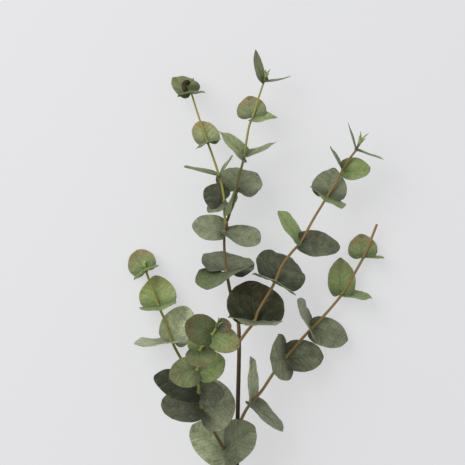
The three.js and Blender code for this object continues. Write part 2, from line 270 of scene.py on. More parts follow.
def spans(route):
    """The cubic of every span of a centripetal Catmull-Rom curve through the route's points."""
    points = [Vector(point) for point in route]
    points = [2 * points[0] - points[1], *points, 2 * points[-1] - points[-2]]
    for before, start, end, after in zip(points, points[1:], points[2:], points[3:]):
        d0 = (start - before).length ** 0.5
        d1 = (end - start).length ** 0.5
        d2 = (after - end).length ** 0.5
        leave = (start - before) / d0 - (end - before) / (d0 + d1) + (end - start) / d1
        arrive = (end - start) / d1 - (after - start) / (d1 + d2) + (after - end) / d2
        leave *= d1
        arrive *= d1
        yield (
            start,
            leave,
            -3 * start + 3 * end - 2 * leave - arrive,
            2 * start - 2 * end + leave + arrive,
        )


def route_point(cubics, t):
    """The point at share t of a route, and the direction there."""
    place = min(max(t, 0.0), 1.0) * len(cubics)
    index = min(int(place), len(cubics) - 1)
    u = place - index
    c0, c1, c2, c3 = cubics[index]
    return c0 + u * (c1 + u * (c2 + u * c3)), (c1 + u * (2 * c2 + 3 * u * c3)).normalized()


FOOT_DEPTH = 0.1  # points this near to the cut end, in millimetres, belong to it
DECIMALS = 6  # of a metre, so that points at one place count once


def frame_shift():
    """From the tables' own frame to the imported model's: the main stem's foot is on both."""
    cubics = list(spans(MAIN["route"]))
    foot, direction = route_point(cubics, 0)
    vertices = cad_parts["main_stem"].data.vertices
    corners = {tuple(round(value, DECIMALS) for value in vertex.co) for vertex in vertices}
    lowest = min(Vector(corner).dot(direction) for corner in corners)
    near_foot = lowest + FOOT_DEPTH * MM
    end_ring = [Vector(corner) for corner in corners if Vector(corner).dot(direction) < near_foot]
    return sum(end_ring, Vector()) / len(end_ring) - foot * MM


SHIFT = frame_shift()


def in_frame(point):
    """A place from the tables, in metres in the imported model's frame."""
    return Vector(point) * MM + SHIFT


# Node trees


class Wire:
    """A socket of a node tree, so that sums on it are written as Python expressions."""

    def __init__(self, tree, socket):
        self.tree = tree
        self.socket = socket

    def maths(self, operation, *values):
        return self.tree.wire("ShaderNodeMath", {"operation": operation}, dict(enumerate(values)))

    def __add__(self, other):
        return self.maths("ADD", self, other)

    def __mul__(self, other):
        return self.maths("MULTIPLY", self, other)

    def __sub__(self, other):
        return self.maths("SUBTRACT", self, other)

    def __rsub__(self, other):
        return self.maths("SUBTRACT", other, self)

    def __truediv__(self, other):
        return self.maths("DIVIDE", self, other)

    def __pow__(self, other):
        return self.maths("POWER", self, other)

    def __gt__(self, other):
        return self.maths("GREATER_THAN", self, other)

    def __lt__(self, other):
        return self.maths("LESS_THAN", self, other)

    def __neg__(self):
        return self.maths("MULTIPLY", self, -1.0)

    def __abs__(self):
        return self.maths("ABSOLUTE", self)

    __radd__ = __add__
    __rmul__ = __mul__

    def sin(self):
        return self.maths("SINE", self)

    def cos(self):
        return self.maths("COSINE", self)

    def at_least(self, other):
        return self.maths("MAXIMUM", self, other)

    def at_most(self, other):
        return self.maths("MINIMUM", self, other)

    def hump(self, width):
        """1 where this value is 0, falling smoothly to 0 a width or two away."""
        return self.maths("EXPONENT", -((self / width) ** 2))

    def step(self, low, high):
        """0 below low and 1 above high, smooth between them."""
        values = {"Value": self, "From Min": low, "From Max": high}
        return self.tree.wire("ShaderNodeMapRange", {"interpolation_type": "SMOOTHSTEP"}, values)


class Tree:
    """Adds nodes to one node tree."""

    def __init__(self, tree):
        self.tree = tree

    def node(self, kind, settings=None, values=None):
        """A new node: its settings first, then the values or wires of its sockets."""
        node = self.tree.nodes.new(kind)
        for name, setting in (settings or {}).items():
            setattr(node, name, setting)
        for name, value in (values or {}).items():
            self.plug(self.socket(node.inputs, name), value)
        return node

    @staticmethod
    def socket(sockets, name):
        if isinstance(name, int):
            return sockets[name]
        return next(socket for socket in sockets if socket.enabled and socket.name == name)

    def plug(self, socket, value):
        if isinstance(value, Wire):
            self.tree.links.new(value.socket, socket)
        else:
            socket.default_value = value

    def output(self, node, name=0):
        return Wire(self, self.socket(node.outputs, name))

    def wire(self, kind, settings=None, values=None, output=None):
        """A new node's first shown output, or the one that is named."""
        node = self.node(kind, settings, values)
        if output is None:
            output = next(socket.name for socket in node.outputs if socket.enabled)
        return self.output(node, output)

    def vector(self, x, y, z):
        return self.wire("ShaderNodeCombineXYZ", None, {"X": x, "Y": y, "Z": z})

    def parts(self, vector):
        node = self.node("ShaderNodeSeparateXYZ", None, {0: vector})
        return [self.output(node, name) for name in "XYZ"]

    def vector_maths(self, operation, first, second):
        return self.wire("ShaderNodeVectorMath", {"operation": operation}, {0: first, 1: second})

    def scaled(self, vector, factor):
        values = {"Vector": vector, "Scale": factor}
        return self.wire("ShaderNodeVectorMath", {"operation": "SCALE"}, values)

    def noise(self, vector, scale, detail=2.0):
        return self.wire("ShaderNodeTexNoise", None, {"Vector": vector, "Scale": scale, "Detail": detail})


class Shape(Tree):
    """A Geometry Nodes tree with named inputs, whose shapes are joined at its end."""

    def __init__(self, name, inputs):
        super().__init__(bpy.data.node_groups.new(name, "GeometryNodeTree"))
        self.tree.interface.new_socket("Geometry", in_out="INPUT", socket_type="NodeSocketGeometry")
        self.tree.interface.new_socket("Geometry", in_out="OUTPUT", socket_type="NodeSocketGeometry")
        for label, (kind, default) in inputs.items():
            socket = self.tree.interface.new_socket(label, in_out="INPUT", socket_type=f"NodeSocket{kind}")
            if default is not None:
                socket.default_value = default
        self.entry = self.tree.nodes.new("NodeGroupInput")

    def given(self, name):
        return self.output(self.entry, name)

    def attribute(self, name, kind="FLOAT"):
        return self.wire("GeometryNodeInputNamedAttribute", {"data_type": kind}, {"Name": name})

    def store(self, geometry, name, value, kind="FLOAT"):
        values = {"Geometry": geometry, "Name": name, "Value": value}
        return self.wire("GeometryNodeStoreNamedAttribute", {"data_type": kind}, values)

    def moved(self, geometry, position):
        return self.wire("GeometryNodeSetPosition", None, {"Geometry": geometry, "Position": position})

    def end(self, geometry):
        geometry = self.wire("GeometryNodeRealizeInstances", None, {"Geometry": geometry})
        geometry = self.wire("GeometryNodeSetShadeSmooth", None, {0: geometry})
        values = {"Geometry": geometry, "Material": self.given("Material")}
        geometry = self.wire("GeometryNodeSetMaterial", None, values)
        self.node("NodeGroupOutput", None, {"Geometry": geometry})
        return self.tree


# How a blade's faces and small bends run. Lengths are in metres, and scales in bumps per metre.
RIM_CROWDING = 1.3  # above 1, the rings of faces crowd towards the rim
RIM_SHARPNESS = 8  # how late a blade thins out towards its rim
SHELL_MERGE = 0.0005  # points of the unit shell that are closer than this are one
RIM_NOISE_SIZE = 2.5  # more makes the rim uneven in more places
WAVE_SCALE = 90.0
WAVE_WIDTH = 0.03  # the leaf width that the wave's height is given for
RIPPLES = 5  # small waves round a rim
RIPPLE_TURN = 40  # turns one leaf's ripples away from another's
RIPPLE_HEIGHT = 0.4  # as a share of the wave's
PUCKER_SCALE = 320.0
PUCKER_HEIGHT = 0.00025
MIDRIB_END = 1.2  # where the midrib's groove would run out, as a share of the leaf's length


def leaf_shell(shape):
    """A round unit shell with a thin rim: x and y run across it and z is 1 on top, -1 below."""
    size = {
        "Vertices X": shape.given("Sectors") + 1,
        "Vertices Y": shape.given("Rings") * 2 + 1,
        "Size X": 1.0,
        "Size Y": 1.0,
    }
    grid = shape.node("GeometryNodeMeshGrid", None, size)
    across, down, _ = shape.parts(shape.output(grid, "UV Map"))
    angle = (across * 2 - 1) * math.pi
    side = 1 - down * 2
    share = 1 - abs(side) ** RIM_CROWDING
    upright = side.maths("SIGN", side) * (1 - share ** RIM_SHARPNESS)
    place = shape.vector(share * angle.cos(), share * angle.sin(), upright)
    shell = shape.moved(shape.output(grid, "Mesh"), place)
    shell = shape.wire("GeometryNodeFlipFaces", None, {"Mesh": shell})
    merge = {"Geometry": shell, "Distance": SHELL_MERGE}
    shell = shape.wire("GeometryNodeMergeByDistance", None, merge)
    position = shape.wire("GeometryNodeInputPosition")
    return shape.store(shell, "shell", position, "FLOAT_VECTOR")


def leaf_outline(shape, angle, point, lobe):
    """How far along its midrib a leaf's rim is, in the direction of an angle."""
    reach = (1 - MIDDLE) + (lobe + (2 * MIDDLE - 1)) * (angle.cos() < 0)
    notch = lobe * (math.pi - abs(angle)).hump(NOTCH_ANGLE)
    return MIDDLE + reach * angle.cos() + notch + point * angle.hump(TIP_SPREAD)


def leaf_tree():
    """Grows a blade on every point, from the point's own size, bends, turn and look."""
    shape = Shape("Leaves", {
        "Thickness": ("Float", 0.0005),
        "Wave": ("Float", 0.0008),
        "Ragged Edge": ("Float", 0.02),
        "Midrib Depth": ("Float", 0.0003),
        "Midrib Width": ("Float", 0.0009),
        "Rings": ("Int", 24),
        "Sectors": ("Int", 96),
        "Material": ("Material", None),
    })
    points = shape.given("Geometry")
    position = shape.wire("GeometryNodeInputPosition")
    points = shape.store(points, "leaf_place", position, "FLOAT_VECTOR")
    points = shape.wire("GeometryNodeMeshToPoints", None, {"Mesh": points})
    instances = {"Points": points, "Instance": leaf_shell(shape)}
    blades = shape.wire("GeometryNodeInstanceOnPoints", None, instances)
    blades = shape.wire("GeometryNodeRealizeInstances", None, {"Geometry": blades})

    length, width, point = shape.parts(shape.attribute("leaf_size", "FLOAT_VECTOR"))
    cup, curl, twist = shape.parts(shape.attribute("leaf_bend", "FLOAT_VECTOR"))
    taper, seed, lobe = shape.parts(shape.attribute("leaf_grain", "FLOAT_VECTOR"))
    x, y, side = shape.parts(shape.attribute("shell", "FLOAT_VECTOR"))
    angle = y.maths("ARCTAN2", y, x)
    share = (x * x + y * y) ** 0.5

    round_rim = shape.vector(angle.cos() * RIM_NOISE_SIZE, angle.sin() * RIM_NOISE_SIZE, seed)
    rim_noise = shape.noise(round_rim, 1.0) - 0.5
    ragged = 1 + shape.given("Ragged Edge") * rim_noise * 2
    b = MIDDLE + share * ragged * (leaf_outline(shape, angle, point, lobe) - MIDDLE)
    a = share * ragged * angle.sin() * (1 - taper * (b - MIDDLE))
    along = length * b
    across = width * 0.5 * a

    flat = shape.vector(along, across, seed)
    wave = (shape.noise(flat, WAVE_SCALE, 1.0) - 0.5) * 2 * shape.given("Wave") * share ** 2
    ripple = (angle * RIPPLES + seed * RIPPLE_TURN).sin()
    ripple = ripple * shape.given("Wave") * RIPPLE_HEIGHT * share ** 4
    puckers = (shape.noise(flat, PUCKER_SCALE, 1.0) - 0.5) * PUCKER_HEIGHT
    rib = -across.hump(shape.given("Midrib Width")) * shape.given("Midrib Depth") * (MIDRIB_END - b)
    crease = (a * a + CREASE_SOFTNESS ** 2) ** 0.5 - CREASE_SOFTNESS
    hollow = a * a + (crease - a * a) * CREASE
    out = width * 0.5 * (cup * hollow + twist * a * b) + length * curl * b * b
    out = out + (wave + ripple) * (width / WAVE_WIDTH) + puckers + rib
    out = out + side * shape.given("Thickness") * 0.5

    angles = shape.attribute("leaf_turn", "FLOAT_VECTOR")
    turn = shape.wire("FunctionNodeEulerToRotation", None, {0: angles})
    local = shape.vector(along, across, out)
    turned = shape.wire("FunctionNodeRotateVector", None, {"Vector": local, "Rotation": turn})
    place = shape.vector_maths("ADD", turned, shape.attribute("leaf_place", "FLOAT_VECTOR"))
    blades = shape.store(blades, "leaf_flat", flat, "FLOAT_VECTOR")
    blades = shape.store(blades, "leaf_share", shape.vector(b, a, share), "FLOAT_VECTOR")
    blades = shape.store(blades, "leaf_side", side)
    blades = shape.moved(blades, place)
    for helper in ("shell", "leaf_size", "leaf_grain", "leaf_bend", "leaf_turn", "leaf_place"):
        blades = shape.wire("GeometryNodeRemoveAttribute", None, {"Geometry": blades, "Name": helper})
    return shape.end(blades)


RIDGE_RUN = 150  # how quickly the bark's ridges change along a stem, in bumps per metre
TUBE_MERGE = 0.000005  # points of a tube that are closer than this, in metres, are one


def stem_tree():
    """Thickens a line of points into a stem, with ridged bark and swollen rings at its nodes."""
    shape = Shape("Stem", {
        "Sides": ("Int", 20),
        "Swelling": ("Float", 0.3),
        "Ridge Depth": ("Float", 0.06),
        "Ridges": ("Float", 2.2),
        "Material": ("Material", None),
    })
    line = shape.wire("GeometryNodeMeshToCurve", None, {"Mesh": shape.given("Geometry")})
    profile = shape.wire("GeometryNodeCurvePrimitiveCircle", None,
                         {"Resolution": shape.given("Sides"), "Radius": 1.0})
    position = shape.wire("GeometryNodeInputPosition")
    profile = shape.store(profile, "stem_round", position, "FLOAT_VECTOR")
    girth = shape.attribute("stem_girth") * (1 + shape.attribute("stem_ring") * shape.given("Swelling"))
    tube = shape.wire("GeometryNodeCurveToMesh", None,
                      {"Curve": line, "Profile Curve": profile, "Scale": girth})
    tube = shape.wire("GeometryNodeMergeByDistance", None, {"Geometry": tube, "Distance": TUBE_MERGE})

    rx, ry, _ = shape.parts(shape.attribute("stem_round", "FLOAT_VECTOR"))
    run = shape.attribute("stem_run")
    grain = shape.vector(rx * shape.given("Ridges"), ry * shape.given("Ridges"), run * RIDGE_RUN)
    ridge = (shape.noise(grain, 1.0) - 0.5) * 2 * shape.given("Ridge Depth") * shape.attribute("stem_girth")
    normal = shape.wire("GeometryNodeInputNormal")
    offset = shape.scaled(normal, ridge)
    tube = shape.wire("GeometryNodeSetPosition", None, {"Geometry": tube, "Offset": offset})
    return shape.end(tube)


def set_inputs(modifier, values):
    """Sets a tree's named inputs on its modifier, by the sockets' identifiers."""
    sockets = modifier.node_group.interface.items_tree
    names = {socket.name: socket.identifier for socket in sockets if socket.in_out == "INPUT"}
    for name, value in values.items():
        modifier[names[name]] = value


def grown(name, seed_mesh, tree, values):
    """The plain mesh that a tree grows from a seed mesh."""
    seed = bpy.data.objects.new(name, seed_mesh)
    bpy.context.scene.collection.objects.link(seed)
    modifier = seed.modifiers.new("Grow", "NODES")
    modifier.node_group = tree
    set_inputs(modifier, values)
    bpy.context.view_layer.update()
    mesh = bpy.data.meshes.new_from_object(seed.evaluated_get(bpy.context.evaluated_depsgraph_get()))
    mesh.name = name
    mesh.materials.clear()
    mesh.materials.append(values["Material"])
    bpy.data.objects.remove(seed)
    if not mesh.polygons:
        raise RuntimeError(f"nothing grew for {name}")
    return mesh


def seed_mesh(name, points, edges, attributes):
    """Loose points with named numbers or vectors on them, for a tree to grow from."""
    mesh = bpy.data.meshes.new(name)
    mesh.from_pydata([tuple(point) for point in points], edges, [])
    for label, values in attributes.items():
        is_vector = isinstance(values[0], (tuple, Vector))
        layer = mesh.attributes.new(label, "FLOAT_VECTOR" if is_vector else "FLOAT", "POINT")
        flat = [part for value in values for part in value] if is_vector else values
        layer.data.foreach_set("vector" if is_vector else "value", flat)
    return mesh


def place_piece(name, meshes, node, slot):
    """Joins meshes into one piece that stands for a CAD node and rides on the branch."""
    parts = []
    for mesh in meshes:
        part = bpy.data.objects.new(name, mesh)
        bpy.context.scene.collection.objects.link(part)
        parts.append(part)
    piece = parts[0]
    if len(parts) > 1:
        chosen = {"active_object": piece, "object": piece, "selected_editable_objects": parts}
        with bpy.context.temp_override(**chosen):
            bpy.ops.object.join()
    piece.name = name
    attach(piece, BODY)
    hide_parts(node)
    return piece


# Materials

# In the sums below, a plain number that isn't named is the share a pattern has in its mask.


class Finish(Tree):
    """A material with one main shader, whose even numbers are set on the shader itself."""

    def __init__(self, name, even):
        self.material = bpy.data.materials.new(name)
        self.material.use_nodes = True
        super().__init__(self.material.node_tree)
        self.tree.nodes.clear()
        self.shader = self.node("ShaderNodeBsdfPrincipled", None, even)
        self.node("ShaderNodeOutputMaterial", None, {"Surface": self.output(self.shader, "BSDF")})

    def attribute(self, name, output="Vector"):
        return self.wire("ShaderNodeAttribute", {"attribute_name": name}, None, output)

    def mix(self, first, second, factor):
        values = {"Factor": factor, "A": first, "B": second}
        return self.wire("ShaderNodeMix", {"data_type": "RGBA"}, values)

    def lightened(self, colour, value):
        """A colour made lighter or darker: 1 leaves it as it is."""
        return self.wire("ShaderNodeHueSaturation", None, {"Value": value, "Color": colour})

    def cells(self, vector, scale, feature="F1"):
        values = {"Vector": vector, "Scale": scale}
        return self.wire("ShaderNodeTexVoronoi", {"feature": feature}, values, "Distance")

    def finish(self, colour, roughness, height, distance):
        bump = self.wire("ShaderNodeBump", None, {"Height": height, "Distance": distance})
        self.plug(self.shader.inputs["Base Color"], colour)
        self.plug(self.shader.inputs["Roughness"], roughness)
        self.plug(self.shader.inputs["Normal"], bump)
        return self.material


def opaque(colour):
    return (*colour, 1.0)


# The veins of a leaf. Lengths are in metres, and scales in bumps per metre.
MIDRIB_WIDTH = 0.00055
MIDRIB_FADE = 1.15  # where the midrib's colour would run out, as a share of the leaf's length
VEIN_SPACING = 0.0036
VEIN_SLOPE = 0.75  # how far forward a side vein runs for every step outwards
VEIN_BEND = 9  # how much more it runs forward further out, per metre
VEIN_SHARPNESS = 18
VEIN_WOBBLE = 0.0012
VEIN_WOBBLE_SCALE = 260.0
VEIN_ENDS = (0.86, 0.97)  # shares of the way to the rim between which side veins fade out
VEIN_FEET = (0.0002, 0.0015)  # distances from the midrib between which they fade in
BORDER_VEIN = 0.93  # share of the way to the rim where one vein runs all round
BORDER_WIDTH = 0.014
BORDER_STRENGTH = 0.7


def leaf_veins(make, along, across, b, share):
    """Masks of the midrib, and of the side veins that leave it with the vein that runs round the rim."""
    sideways = abs(across)
    midrib = across.hump(MIDRIB_WIDTH) * (MIDRIB_FADE - b).at_least(0.0)
    wobble = (make.noise(make.vector(along, across, 0.0), VEIN_WOBBLE_SCALE) - 0.5) * VEIN_WOBBLE
    run = along - sideways * VEIN_SLOPE - sideways * sideways * VEIN_BEND + wobble
    laterals = (run * (2 * math.pi / VEIN_SPACING)).cos().at_least(0.0) ** VEIN_SHARPNESS
    laterals = laterals * (1 - share.step(*VEIN_ENDS)) * sideways.step(*VEIN_FEET)
    border = (share - BORDER_VEIN).hump(BORDER_WIDTH)
    return midrib, (laterals + border * BORDER_STRENGTH).at_most(1.0)


# The skin of a leaf: patterns in bumps per metre, then how strongly each tint is mixed in.
PATCH_SCALE = 140.0
MOTTLE_SCALE = 600.0
SPECKLE_SCALE = 3200.0
STREAK_RUN_SCALE = 500
STREAK_ACROSS_SCALE = 110
NET_SCALE = 900.0
NET_WIDTH = 0.12
SPOT_SCALE = 110.0
SPOT_EDGE = (0.05, 0.13)
SPOT_PATCHES = 0.6  # spots show only where the patches are above this
SPOT_OFFSET = (0.0, 0.0, 4.0)  # keeps the spots apart from the net
UNDER_EDGE = (-0.25, 0.05)  # heights in the blade between which the lower skin begins
GREY_SHADES = (0.0, 0.55)  # shades between which dark green turns grey-green
FRESH_SHADES = (0.42, 0.95)  # shades between which grey-green turns fresh green
BLUSH_REACH = (0.3, 1.05)
RIM_EDGE = (0.955, 0.99)
UNDER_STRENGTH = 0.45
BLOOM_STRENGTH = 0.55
BLUSH_STRENGTH = 0.85
SPOT_STRENGTH = 0.6
RIM_STRENGTH = 0.6
BASE_SHADE_STRENGTH = 0.5  # painted shade: how much darker a leaf is where it meets the stem
# How far along the leaf the painted shade at its foot reaches, as a share of its length.
BASE_SHADE_REACH = 0.28
CREASE_SHADE_STRENGTH = 0.22  # painted shade of the fold: how much darker it is beside its midrib
CREASE_SHADE_REACH = 0.0022
BASE_TONE = 1.2
LEAF_BUMP = 0.00025


def leaf_finish(name, leaves):
    """Waxy leaf skin: green by the leaf's shade, paler veins, bloom, mottling and a red-brown blush, with
    painted shade at its foot and beside its midrib.
    """
    make = Finish(name, {
        "Specular IOR Level": leaves.gloss,
        "Sheen Weight": leaves.bloom_sheen,
        "Sheen Roughness": 0.6,
        "Sheen Tint": (0.85, 0.95, 0.88, 1.0),
    })
    flat = make.attribute("leaf_flat")
    along, across, seed = make.parts(flat)
    b, _, share = make.parts(make.attribute("leaf_share"))
    shade, light, blush = make.parts(make.attribute("leaf_look"))
    under = 1 - make.attribute("leaf_side", "Fac").step(*UNDER_EDGE)
    midrib, laterals = leaf_veins(make, along, across, b, share)
    net = 1 - make.cells(flat, NET_SCALE, "DISTANCE_TO_EDGE").step(0.0, NET_WIDTH)
    along_veins = (along - abs(across) * VEIN_SLOPE) * STREAK_RUN_SCALE
    streaks = make.noise(make.vector(along_veins, across * STREAK_ACROSS_SCALE, seed), 1.0, 3.0)
    patches = make.noise(flat, PATCH_SCALE, 3.0)
    mottle = make.noise(flat, MOTTLE_SCALE, 3.0)
    speckle = make.noise(flat, SPECKLE_SCALE, 1.0)

    shaded = shade + (patches - 0.5) * (0.08 + shade * 0.4)
    green = make.mix(opaque(leaves.dark_green), opaque(leaves.grey_green), shaded.step(*GREY_SHADES))
    green = make.mix(green, opaque(leaves.fresh_green), shaded.step(*FRESH_SHADES))
    green = make.mix(green, opaque(leaves.underside), under * UNDER_STRENGTH)
    waxy = (patches * 1.6 - 0.55).at_least(0.0) * shade.at_most(0.6)
    green = make.mix(green, opaque(leaves.bloom), waxy * BLOOM_STRENGTH)
    far = share * 0.45 + b * 0.7 + (patches - 0.5) * 0.8
    tired = blush * far.step(*BLUSH_REACH)
    green = make.mix(green, opaque(leaves.blush), tired * BLUSH_STRENGTH)
    veins = (midrib * 0.45 + laterals * 0.22 + net * 0.1) * (shade * 0.8 + 0.2)
    green = make.mix(green, opaque(leaves.vein), veins)
    green = make.mix(green, opaque(leaves.rim), share.step(*RIM_EDGE) * RIM_STRENGTH)
    spots = 1 - make.cells(make.vector_maths("ADD", flat, SPOT_OFFSET), SPOT_SCALE).step(*SPOT_EDGE)
    green = make.mix(green, opaque(leaves.blush), spots * (patches > SPOT_PATCHES) * SPOT_STRENGTH)
    # Painted shade: darker at a leaf's foot, where it meets the stem, and beside its midrib, where the blade
    # folds. Each leaf's light also carries painted light and shade for how it faces the light.
    hollow = (b + (mottle - 0.5) * 0.2).hump(BASE_SHADE_REACH) * BASE_SHADE_STRENGTH
    crease = across.hump(CREASE_SHADE_REACH) * CREASE_SHADE_STRENGTH * (1 - midrib)
    grain = (mottle - 0.5) * 1.2 + (speckle - 0.5) * 0.8 + (streaks - 0.5) * 1.6 + (patches - 0.5) * 0.3
    tone = (BASE_TONE + grain * (1.1 - shade * 0.45)) * light * (1 - hollow) * (1 - crease)
    green = make.lightened(green, tone)

    roughness = 0.5 + mottle * 0.2 - midrib * 0.1
    height = mottle * 0.4 + speckle * 0.2 + (midrib * 0.5 + laterals * 0.5 + net * 0.2) * (1 - under * 2)
    return make.finish(green, roughness, height, LEAF_BUMP)


# Patterns of the bark, in bumps round a stem and in bumps per metre along it.
STREAK_BARK = (3, 220)
FIBRE_BARK = (9, 500)
BLOTCH_BARK = (1, 60)
PORE_BARK = (1.6, 420)
PORE_EDGE = (0.12, 0.24)
PORE_STRENGTH = 0.35
SCAR_EDGE = (0.45, 0.9)  # strengths of a node ring between which its pale scar begins
SCAR_STRENGTH = 0.4
FORK_EDGE = (1.2, 2.4)  # the same for the green knot at a fork
FORK_STRENGTH = 0.75
GROWTH_RINGS = 30  # more shows more rings on a cut end
BARK_BUMP = 0.0003


def stem_finish(name, old, young, stems):
    """Bark that turns from woody to green along a stem, with streaks, pores and pale node rings."""
    make = Finish(name, {"Specular IOR Level": stems.gloss})
    run = make.attribute("stem_run", "Fac")
    age = make.attribute("stem_age", "Fac")
    ring = make.attribute("stem_ring", "Fac")
    cut = make.attribute("stem_cut", "Fac")
    rx, ry, _ = make.parts(make.attribute("stem_round"))

    def pattern(rounds, runs):
        return make.vector(rx * rounds, ry * rounds, run * runs)

    streak = make.noise(pattern(*STREAK_BARK), 1.6, 4.0)
    fibre = make.noise(pattern(*FIBRE_BARK), 1.6, 3.0)
    blotch = make.noise(pattern(*BLOTCH_BARK), 1.0, 2.0)
    pores = 1 - make.cells(pattern(*PORE_BARK), 1.3).step(*PORE_EDGE)

    aged = (age + (blotch - 0.5) * 0.35).step(0.0, 1.0)
    colour = make.mix(opaque(young), opaque(old), aged)
    colour = make.mix(colour, opaque(stems.pore), pores * PORE_STRENGTH)
    colour = make.mix(colour, opaque(stems.scar), ring.step(*SCAR_EDGE) * SCAR_STRENGTH)
    colour = make.mix(colour, opaque(stems.young_olive), ring.step(*FORK_EDGE) * FORK_STRENGTH)
    colour = make.lightened(colour, 0.55 + streak * 0.6 + fibre * 0.3)
    rings = (((rx * rx + ry * ry) ** 0.5) * GROWTH_RINGS).sin() * 0.1 + 0.9
    colour = make.mix(colour, make.lightened(opaque(stems.cut_wood), rings), cut)

    roughness = 0.55 + streak * 0.3
    height = streak * 0.6 + fibre * 0.3 + pores * 0.4 + ring * 0.3
    return make.finish(colour, roughness, height, BARK_BUMP)


BUD_FIBRE = (4, 500)  # bumps round a tip, and per metre along it
BUD_GREEN_LENGTH = 0.009  # how far up a growing tip its green foot reaches, in metres
BUD_BUMP = 0.0002


def bud_finish(buds):
    """Soft growing tip: bright yellow-green at its point, greener at its foot."""
    make = Finish("bud_skin", {"Specular IOR Level": 0.3, "Sheen Weight": 0.2, "Sheen Roughness": 0.5})
    run = make.attribute("stem_run", "Fac")
    rx, ry, _ = make.parts(make.attribute("stem_round"))
    rounds, runs = BUD_FIBRE
    fibre = make.noise(make.vector(rx * rounds, ry * rounds, run * runs), 1.5, 3.0)
    ripe = (run / BUD_GREEN_LENGTH + fibre * 0.3).step(0.1, 1.0)
    colour = make.mix(opaque(buds.foot), opaque(buds.tip), ripe)
    colour = make.lightened(colour, 0.7 + fibre * 0.6)
    return make.finish(colour, 0.5 + fibre * 0.2, fibre, BUD_BUMP)


CARD_SCALE = 900.0  # bumps per metre of the floor card's tooth
CARD_BUMP = 0.00002


def floor_finish(stage):
    """Plain matt card with a faint tooth, lit a little from below to keep its shadows faint."""
    make = Finish("floor_card", {
        "Specular IOR Level": 0.1,
        "Emission Color": opaque(stage.floor_colour),
        "Emission Strength": stage.floor_glow,
    })
    where = make.wire("ShaderNodeTexCoord", None, None, "Object")
    tooth = make.noise(where, CARD_SCALE, 2.0)
    colour = make.lightened(opaque(stage.floor_colour), 0.995 + tooth * 0.01)
    return make.finish(colour, 0.9 + tooth * 0.05, tooth, CARD_BUMP)


# Building


# Sizes of the swellings, closed ends, clasps and growing tips. Lengths are in millimetres.
RING_SPREAD = 1.6  # how far along a stem the swelling at a node reaches
CAP = ((0.0, 0.02), (0.5, 0.01), (0.93, 0.0))  # a closed end's rings: share of girth, and how far out
CAP_INSET = 0.1  # how far the first full ring stands back from the end
CLASP_STEPS = 8
CLASP_LENGTH = 2.2
CLASP_CLEARANCE = 0.1  # how much thicker than the stem a clasp is at its ends
CLASP_BULGE = 0.75  # and how much more in its middle
BUD_STEPS = 16
BUD_FOOT = 0.55  # girth of a growing tip at its foot, as a share of its widest
BUD_SHOULDER = 1.6  # more brings the widest part nearer to the foot
BUD_TAPER = 2.2  # more keeps it full for longer, then draws it in
BUD_POINT = 0.02  # radius at its point
BUD_FOOT_GAP = 0.2  # how much of the gap to its stem a growing tip leaves open
BUD_CORE = {"Sides": 16, "Swelling": 0.0, "Ridge Depth": 0.12}
CLASP_RING = {"Sides": 20, "Swelling": 0.0, "Ridge Depth": 0.05}
YOUNG_BLADE = {"Rings": 10, "Sectors": 40, "Thickness": 0.0004}
YOUNG_LEAVES = 0.3  # where the youngest leaves stand on a growing tip, as a share of its length

# The folded scales of a growing tip: turn round it and splay from it in degrees, and share of its length.
SCALES = ((0, 9, 1.0), (180, 14, 0.92), (90, 20, 0.7), (270, 24, 0.66))
SCALE_WIDTH = 2.1  # as a share of the tip's radius
SCALE_LOOK = {"shade": 1.0, "light": 1.9, "cup": -0.9, "curl": 0.1, "point": 0.15}
SCALE_SPREAD = 0.35  # how far out a scale's foot stands, as a share of the tip's radius
INNER_DROP = 0.4  # how much lower the second pair of scales starts than the first


def leaf_points(name, blades, places):
    """A seed point for every leaf of a piece."""
    numbers = random.Random(name)
    seeds = [numbers.uniform(0.0, 3.0) for _ in blades]
    attributes = {
        "leaf_size": [(blade["length"] * MM, blade["width"] * MM, blade["point"]) for blade in blades],
        "leaf_bend": [(blade["cup"], blade["curl"], blade["twist"]) for blade in blades],
        "leaf_turn": [tuple(blade["turn"]) for blade in blades],
        "leaf_look": [(blade["shade"], blade["light"], blade["blush"]) for blade in blades],
        "leaf_grain": [(blade["taper"], seed, blade["lobe"]) for blade, seed in zip(blades, seeds)],
    }
    return seed_mesh(name, places, [], attributes)


def leaf_inputs(leaves, material):
    return {
        "Thickness": leaves.thickness,
        "Wave": leaves.wave,
        "Ragged Edge": leaves.ragged_edge,
        "Midrib Depth": leaves.midrib_depth,
        "Rings": leaves.rings,
        "Sectors": leaves.sectors,
        "Material": material,
    }


def between(values, t):
    """The value at share t of evenly spread values."""
    place = t * (len(values) - 1)
    index = min(int(place), len(values) - 2)
    return values[index] + (values[index + 1] - values[index]) * (place - index)


def stem_samples(stem, steps_per_span):
    """Points along a stem, with the length run so far, the radius, the age and the node rings."""
    cubics = list(spans(stem["route"]))
    count = len(cubics) * steps_per_span
    nodes = [(route_point(cubics, at / len(cubics))[0], 1.0) for at, *_ in stem["pairs"]]
    if "knot" in stem:
        nodes.append((Vector(stem["route"][-1]), stem["knot"]))
    foot, tip = stem["radii"]
    samples = []
    run = 0.0
    before = None
    for index in range(count + 1):
        t = index / count
        point, direction = route_point(cubics, t)
        if before is not None:
            run += (point - before).length
        before = point
        swells = (
            strength * math.exp(-(((point - node).length / RING_SPREAD) ** 2)) for node, strength in nodes
        )
        samples.append({
            "point": point,
            "direction": direction,
            "girth": foot + (tip - foot) * t,
            "age": between(stem["ages"], t),
            "ring": max(swells),
            "run": run,
        })
    if "join" in stem:
        samples.insert(0, {**samples[0], "point": Vector(stem["join"])})
    return samples


